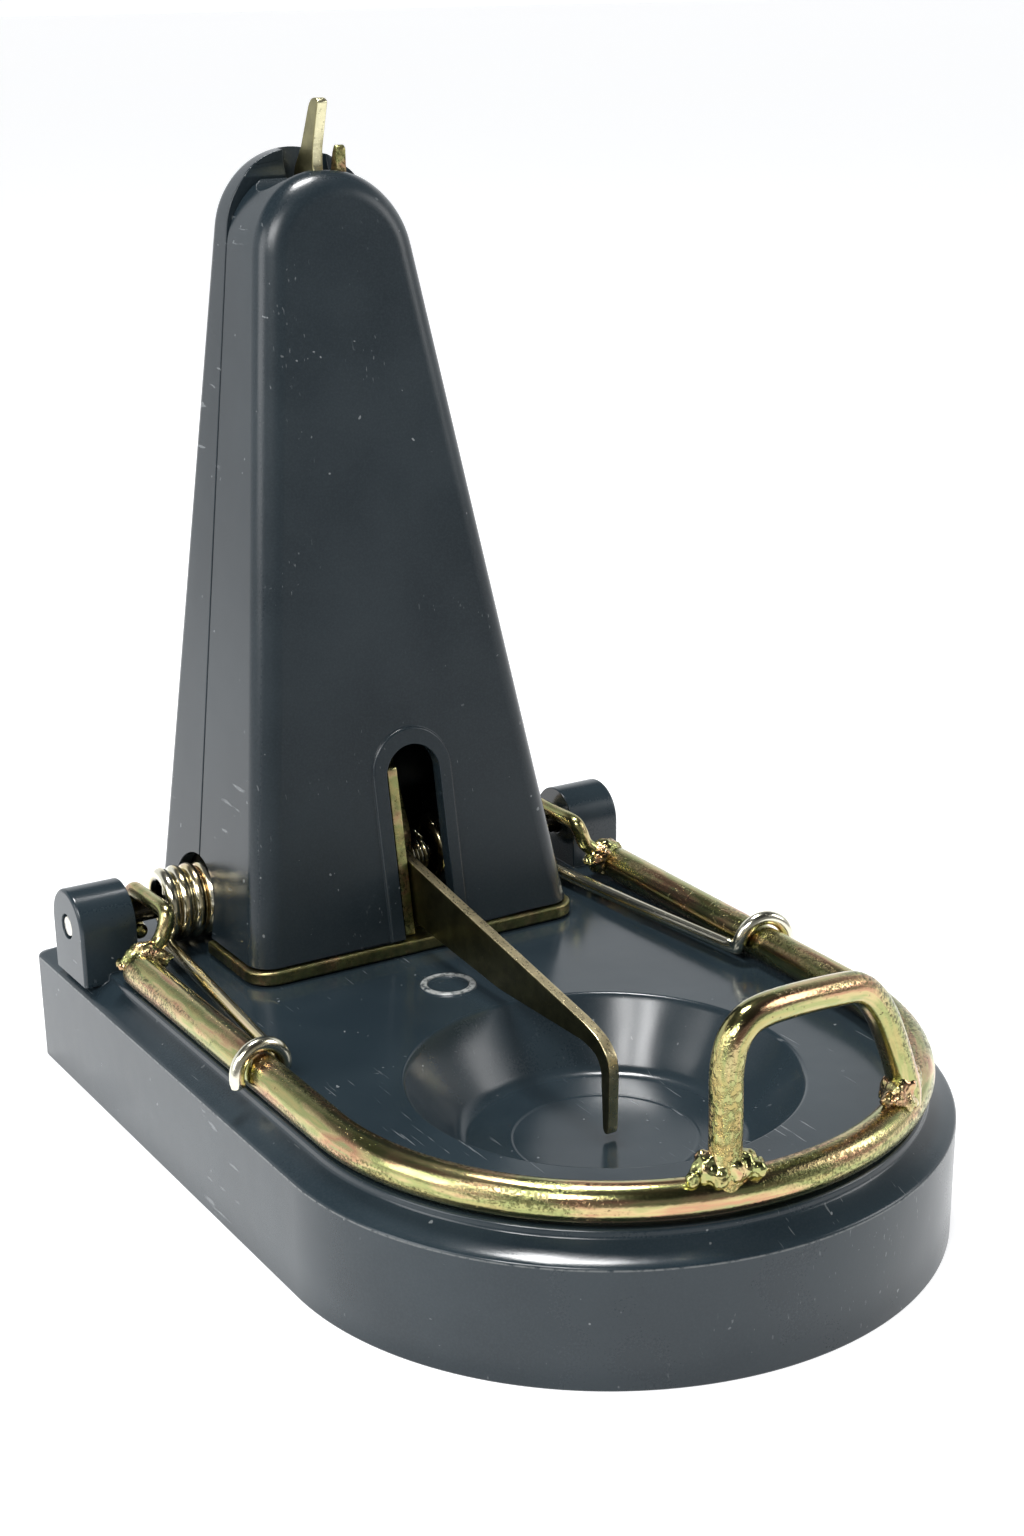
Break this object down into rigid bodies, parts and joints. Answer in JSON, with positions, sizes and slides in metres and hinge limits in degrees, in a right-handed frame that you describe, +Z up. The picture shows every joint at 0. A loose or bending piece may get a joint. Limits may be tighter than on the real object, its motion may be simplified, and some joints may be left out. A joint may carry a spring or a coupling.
{
  "type": "snap mouse trap",
  "caption": "Upright snap trap: a wire hoop with a finger handle, two torsion springs on an axle, a moulded base with a bait dish, and a tower that holds the catch and the trigger blade",
  "frame": {"origin": "middle of the footprint, on the surface that the base stands on", "axes": "X to the right, -Y towards the round front end with the handle, Z up"},
  "size_m": [0.1142, 0.165, 0.1715],
  "materials": {
    "slate_plastic": "dark blue-grey moulded plastic, semi-gloss with light scuffs",
    "yellow_zinc_steel": "steel with yellow zinc plating, gold with pink and green shimmer",
    "weld_metal": "lumpy weld beads under the same yellow zinc plating",
    "spring_steel": "bright drawn spring wire with a thin plating",
    "bright_steel": "plain bright steel"
  },
  "bodies": {
    "trap_body": {"base": "slate_plastic", "frame_plate": "yellow_zinc_steel", "spine_plate": "yellow_zinc_steel", "side_plate": "yellow_zinc_steel", "tower_front_shell": "slate_plastic", "tower_rear_shell": "slate_plastic", "axle": "bright_steel", "trigger_pin": "bright_steel", "trigger_washer": "bright_steel", "trigger_spring": "spring_steel", "catch_pin": "bright_steel", "catch_washer": "bright_steel", "tower_screw_1": "bright_steel", "tower_screw_2": "bright_steel", "tower_screw_3": "bright_steel", "tower_screw_4": "bright_steel"},
    "hoop": {"hoop": "yellow_zinc_steel", "hoop_eye_left": "yellow_zinc_steel", "hoop_eye_right": "yellow_zinc_steel", "eye_weld_left": "weld_metal", "eye_weld_right": "weld_metal", "handle_loop": "yellow_zinc_steel", "handle_weld_left": "weld_metal", "handle_weld_right": "weld_metal", "torsion_spring_left": "spring_steel", "torsion_spring_right": "spring_steel"},
    "trigger": {"trigger_lever": "yellow_zinc_steel"},
    "catch": {"catch_lever": "bright_steel"}
  },
  "joints": [
    {"name": "hoop_swing", "type": "hinge", "parent": "trap_body", "child": "hoop", "pos_m": [0, 0.064, 0.032], "axis": [-1, 0, 0], "range_deg": [0, 90], "stiffness_Nm_per_rad": 0.12, "springref_deg": -57.3},
    {"name": "trigger_tilt", "type": "hinge", "parent": "trap_body", "child": "trigger", "pos_m": [0, 0.051, 0.037], "axis": [-1, 0, 0], "range_deg": [0, 8], "stiffness_Nm_per_rad": 0.01, "springref_deg": -28.65},
    {"name": "catch_tilt", "type": "hinge", "parent": "trap_body", "child": "catch", "pos_m": [0, 0.0685, 0.146], "axis": [-1, 0, 0], "range_deg": [0, 5], "stiffness_Nm_per_rad": 0.01, "springref_deg": -28.65}
  ]
}
